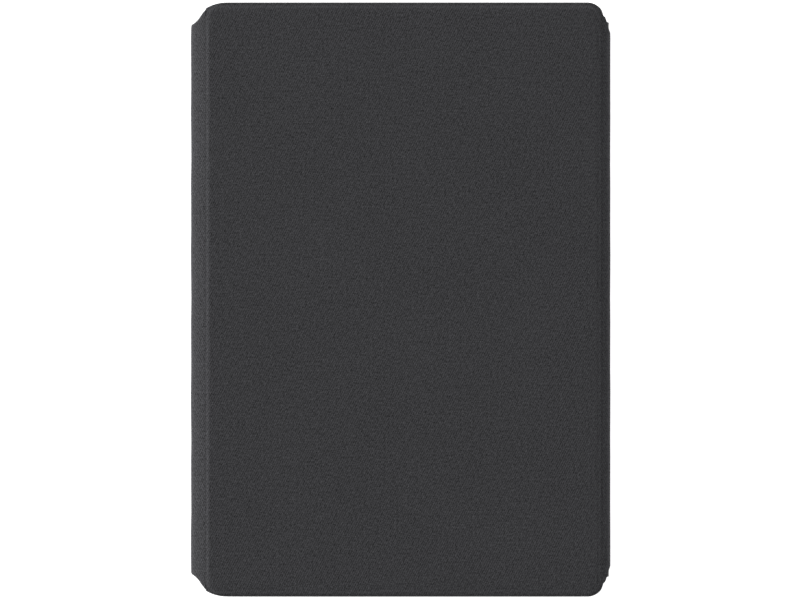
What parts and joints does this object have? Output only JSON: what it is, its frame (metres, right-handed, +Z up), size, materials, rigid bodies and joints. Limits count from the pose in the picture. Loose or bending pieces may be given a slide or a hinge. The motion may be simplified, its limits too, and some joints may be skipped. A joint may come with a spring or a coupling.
{
  "type": "tablet keyboard case",
  "caption": "Fabric folio for a ten-inch tablet with a fold-out keyboard and touchpad, a tilting tablet tray on a prop leg, and a magnetic closing flap.",
  "frame": {"origin": "centre of the closed case's box, on the table it lies on", "axes": "+X from the spine to the closing flap, +Y along the spine to the user's left when open, +Z up from the table"},
  "size_m": [0.1752, 0.248, 0.021],
  "materials": {
    "woven_fabric": "dark charcoal woven twill",
    "suede_lining": "short soft microfibre nap",
    "board": "grey stiffener board",
    "steel": "bare spring steel",
    "coated_steel": "satin dark powder coat",
    "magnet": "nickel plated magnet",
    "shell_plastic": "fine spark-eroded black plastic",
    "key_plastic": "satin black keycap plastic",
    "soft_rubber": "matte black rubber",
    "film": "printed polyester film",
    "battery_foil": "foil pouch",
    "circuit_board": "green solder mask",
    "light_lens": "clear light pipe",
    "touch_surface": "satin touch surface"
  },
  "bodies": {
    "back": {"back_skin": "woven_fabric", "back_board": "board", "back_lining": "suede_lining", "stand_magnets": "magnet", "tray_hinge_leaf": "steel", "tray_hinge_pin": "steel"},
    "spine": {"spine_skin": "woven_fabric", "spine_board": "board", "spine_lining": "suede_lining"},
    "front": {"front_skin": "woven_fabric", "chassis": "shell_plastic", "key_deck": "shell_plastic", "key_plate": "steel", "key_membrane": "film", "dome_sheet": "soft_rubber", "battery": "battery_foil", "controller_board": "circuit_board", "usb_port": "steel", "status_lights": "light_lens", "deck_screws": "steel", "deck_bumpers": "soft_rubber"},
    "flap": {"flap_skin": "woven_fabric", "flap_stiffener": "suede_lining", "flap_magnets": "magnet"},
    "tray": {"tray_shell": "shell_plastic", "corner_grips": "soft_rubber", "tray_pad": "suede_lining", "catch_magnets": "magnet", "leg_pins": "steel"},
    "leg": {"leg_plate": "coated_steel", "leg_foot": "soft_rubber"},
    "power_switch": {"power_switch": "soft_rubber"},
    "pair_button": {"pair_button": "key_plastic"},
    "touchpad": {"touchpad": "touch_surface"},
    "volume_button": {"volume_button": "soft_rubber"},
    "sleep_button": {"sleep_button": "soft_rubber"},
    "function_keys": {"function_keys": "key_plastic"},
    "number_keys": {"number_keys": "key_plastic"},
    "upper_letter_keys": {"upper_letter_keys": "key_plastic"},
    "home_letter_keys": {"home_letter_keys": "key_plastic"},
    "lower_letter_keys": {"lower_letter_keys": "key_plastic"},
    "escape_key": {"escape_key": "key_plastic"},
    "backspace_key": {"backspace_key": "key_plastic"},
    "tab_key": {"tab_key": "key_plastic"},
    "caps_lock_key": {"caps_lock_key": "key_plastic"},
    "enter_key": {"enter_key": "key_plastic"},
    "left_shift_key": {"left_shift_key": "key_plastic"},
    "right_shift_key": {"right_shift_key": "key_plastic"},
    "fn_key": {"fn_key": "key_plastic"},
    "control_key": {"control_key": "key_plastic"},
    "left_alt_key": {"left_alt_key": "key_plastic"},
    "left_command_key": {"left_command_key": "key_plastic"},
    "space_key": {"space_key": "key_plastic"},
    "right_command_key": {"right_command_key": "key_plastic"},
    "right_alt_key": {"right_alt_key": "key_plastic"},
    "arrow_left_key": {"arrow_left_key": "key_plastic"},
    "arrow_up_key": {"arrow_up_key": "key_plastic"},
    "arrow_down_key": {"arrow_down_key": "key_plastic"},
    "arrow_right_key": {"arrow_right_key": "key_plastic"}
  },
  "joints": [
    {"name": "spine_fold", "type": "hinge", "parent": "back", "child": "spine", "pos_m": [-0.0864, 0, 0.0012], "axis": [0, -1, 0], "range_deg": [0, 90]},
    {"name": "cover_open", "type": "hinge", "parent": "spine", "child": "front", "pos_m": [-0.0864, 0, 0.0198], "axis": [0, -1, 0], "range_deg": [0, 90]},
    {"name": "flap_open", "type": "hinge", "parent": "front", "child": "flap", "pos_m": [0.0867, 0, 0.0201], "axis": [0, -1, 0], "range_deg": [0, 90]},
    {"name": "tray_tilt", "type": "hinge", "parent": "back", "child": "tray", "pos_m": [-0.0833, 0, 0.0037], "axis": [0, -1, 0], "range_deg": [0, 65]},
    {"name": "leg_fold", "type": "hinge", "parent": "tray", "child": "leg", "pos_m": [-0.0033, 0, 0.0037], "axis": [0, 1, 0], "range_deg": [0, 130]},
    {"name": "power_slide", "type": "slide", "parent": "front", "child": "power_switch", "axis": [1, 0, 0], "range_m": [0, 0.0025]},
    {"name": "pair_press", "type": "slide", "parent": "front", "child": "pair_button", "axis": [0, 0, 1], "range_m": [0, 0.0003], "stiffness_N_per_m": 1500},
    {"name": "touchpad_press", "type": "slide", "parent": "front", "child": "touchpad", "axis": [0, 0, 1], "range_m": [0, 0.0004], "stiffness_N_per_m": 2000},
    {"name": "volume_press", "type": "slide", "parent": "tray", "child": "volume_button", "axis": [0, -1, 0], "range_m": [0, 0.0005], "stiffness_N_per_m": 1500},
    {"name": "sleep_press", "type": "slide", "parent": "tray", "child": "sleep_button", "axis": [0, -1, 0], "range_m": [0, 0.0005], "stiffness_N_per_m": 1500},
    {"name": "function_keys_press", "type": "slide", "parent": "front", "child": "function_keys", "axis": [0, 0, 1], "range_m": [0, 0.0011], "stiffness_N_per_m": 2000, "deforming": ["dome_sheet"]},
    {"name": "number_keys_press", "type": "slide", "parent": "front", "child": "number_keys", "axis": [0, 0, 1], "range_m": [0, 0.0011], "stiffness_N_per_m": 2000, "deforming": ["dome_sheet"]},
    {"name": "upper_letter_keys_press", "type": "slide", "parent": "front", "child": "upper_letter_keys", "axis": [0, 0, 1], "range_m": [0, 0.0011], "stiffness_N_per_m": 2000, "deforming": ["dome_sheet"]},
    {"name": "home_letter_keys_press", "type": "slide", "parent": "front", "child": "home_letter_keys", "axis": [0, 0, 1], "range_m": [0, 0.0011], "stiffness_N_per_m": 2000, "deforming": ["dome_sheet"]},
    {"name": "lower_letter_keys_press", "type": "slide", "parent": "front", "child": "lower_letter_keys", "axis": [0, 0, 1], "range_m": [0, 0.0011], "stiffness_N_per_m": 2000, "deforming": ["dome_sheet"]},
    {"name": "escape_key_press", "type": "slide", "parent": "front", "child": "escape_key", "axis": [0, 0, 1], "range_m": [0, 0.0011], "stiffness_N_per_m": 450, "deforming": ["dome_sheet"]},
    {"name": "backspace_key_press", "type": "slide", "parent": "front", "child": "backspace_key", "axis": [0, 0, 1], "range_m": [0, 0.0011], "stiffness_N_per_m": 450, "deforming": ["dome_sheet"]},
    {"name": "tab_key_press", "type": "slide", "parent": "front", "child": "tab_key", "axis": [0, 0, 1], "range_m": [0, 0.0011], "stiffness_N_per_m": 450, "deforming": ["dome_sheet"]},
    {"name": "caps_lock_key_press", "type": "slide", "parent": "front", "child": "caps_lock_key", "axis": [0, 0, 1], "range_m": [0, 0.0011], "stiffness_N_per_m": 450, "deforming": ["dome_sheet"]},
    {"name": "enter_key_press", "type": "slide", "parent": "front", "child": "enter_key", "axis": [0, 0, 1], "range_m": [0, 0.0011], "stiffness_N_per_m": 450, "deforming": ["dome_sheet"]},
    {"name": "left_shift_key_press", "type": "slide", "parent": "front", "child": "left_shift_key", "axis": [0, 0, 1], "range_m": [0, 0.0011], "stiffness_N_per_m": 450, "deforming": ["dome_sheet"]},
    {"name": "right_shift_key_press", "type": "slide", "parent": "front", "child": "right_shift_key", "axis": [0, 0, 1], "range_m": [0, 0.0011], "stiffness_N_per_m": 450, "deforming": ["dome_sheet"]},
    {"name": "fn_key_press", "type": "slide", "parent": "front", "child": "fn_key", "axis": [0, 0, 1], "range_m": [0, 0.0011], "stiffness_N_per_m": 450, "deforming": ["dome_sheet"]},
    {"name": "control_key_press", "type": "slide", "parent": "front", "child": "control_key", "axis": [0, 0, 1], "range_m": [0, 0.0011], "stiffness_N_per_m": 450, "deforming": ["dome_sheet"]},
    {"name": "left_alt_key_press", "type": "slide", "parent": "front", "child": "left_alt_key", "axis": [0, 0, 1], "range_m": [0, 0.0011], "stiffness_N_per_m": 450, "deforming": ["dome_sheet"]},
    {"name": "left_command_key_press", "type": "slide", "parent": "front", "child": "left_command_key", "axis": [0, 0, 1], "range_m": [0, 0.0011], "stiffness_N_per_m": 450, "deforming": ["dome_sheet"]},
    {"name": "space_key_press", "type": "slide", "parent": "front", "child": "space_key", "axis": [0, 0, 1], "range_m": [0, 0.0011], "stiffness_N_per_m": 450, "deforming": ["dome_sheet"]},
    {"name": "right_command_key_press", "type": "slide", "parent": "front", "child": "right_command_key", "axis": [0, 0, 1], "range_m": [0, 0.0011], "stiffness_N_per_m": 450, "deforming": ["dome_sheet"]},
    {"name": "right_alt_key_press", "type": "slide", "parent": "front", "child": "right_alt_key", "axis": [0, 0, 1], "range_m": [0, 0.0011], "stiffness_N_per_m": 450, "deforming": ["dome_sheet"]},
    {"name": "arrow_left_key_press", "type": "slide", "parent": "front", "child": "arrow_left_key", "axis": [0, 0, 1], "range_m": [0, 0.0011], "stiffness_N_per_m": 450, "deforming": ["dome_sheet"]},
    {"name": "arrow_up_key_press", "type": "slide", "parent": "front", "child": "arrow_up_key", "axis": [0, 0, 1], "range_m": [0, 0.0011], "stiffness_N_per_m": 450, "deforming": ["dome_sheet"]},
    {"name": "arrow_down_key_press", "type": "slide", "parent": "front", "child": "arrow_down_key", "axis": [0, 0, 1], "range_m": [0, 0.0011], "stiffness_N_per_m": 450, "deforming": ["dome_sheet"]},
    {"name": "arrow_right_key_press", "type": "slide", "parent": "front", "child": "arrow_right_key", "axis": [0, 0, 1], "range_m": [0, 0.0011], "stiffness_N_per_m": 450, "deforming": ["dome_sheet"]}
  ],
  "couplings": [
    {"joint": "cover_open", "follows": "spine_fold", "ratio": 1},
    {"joint": "tray_tilt", "follows": "spine_fold", "ratio": 0.7222},
    {"joint": "leg_fold", "follows": "spine_fold", "ratio": 1.4444}
  ]
}
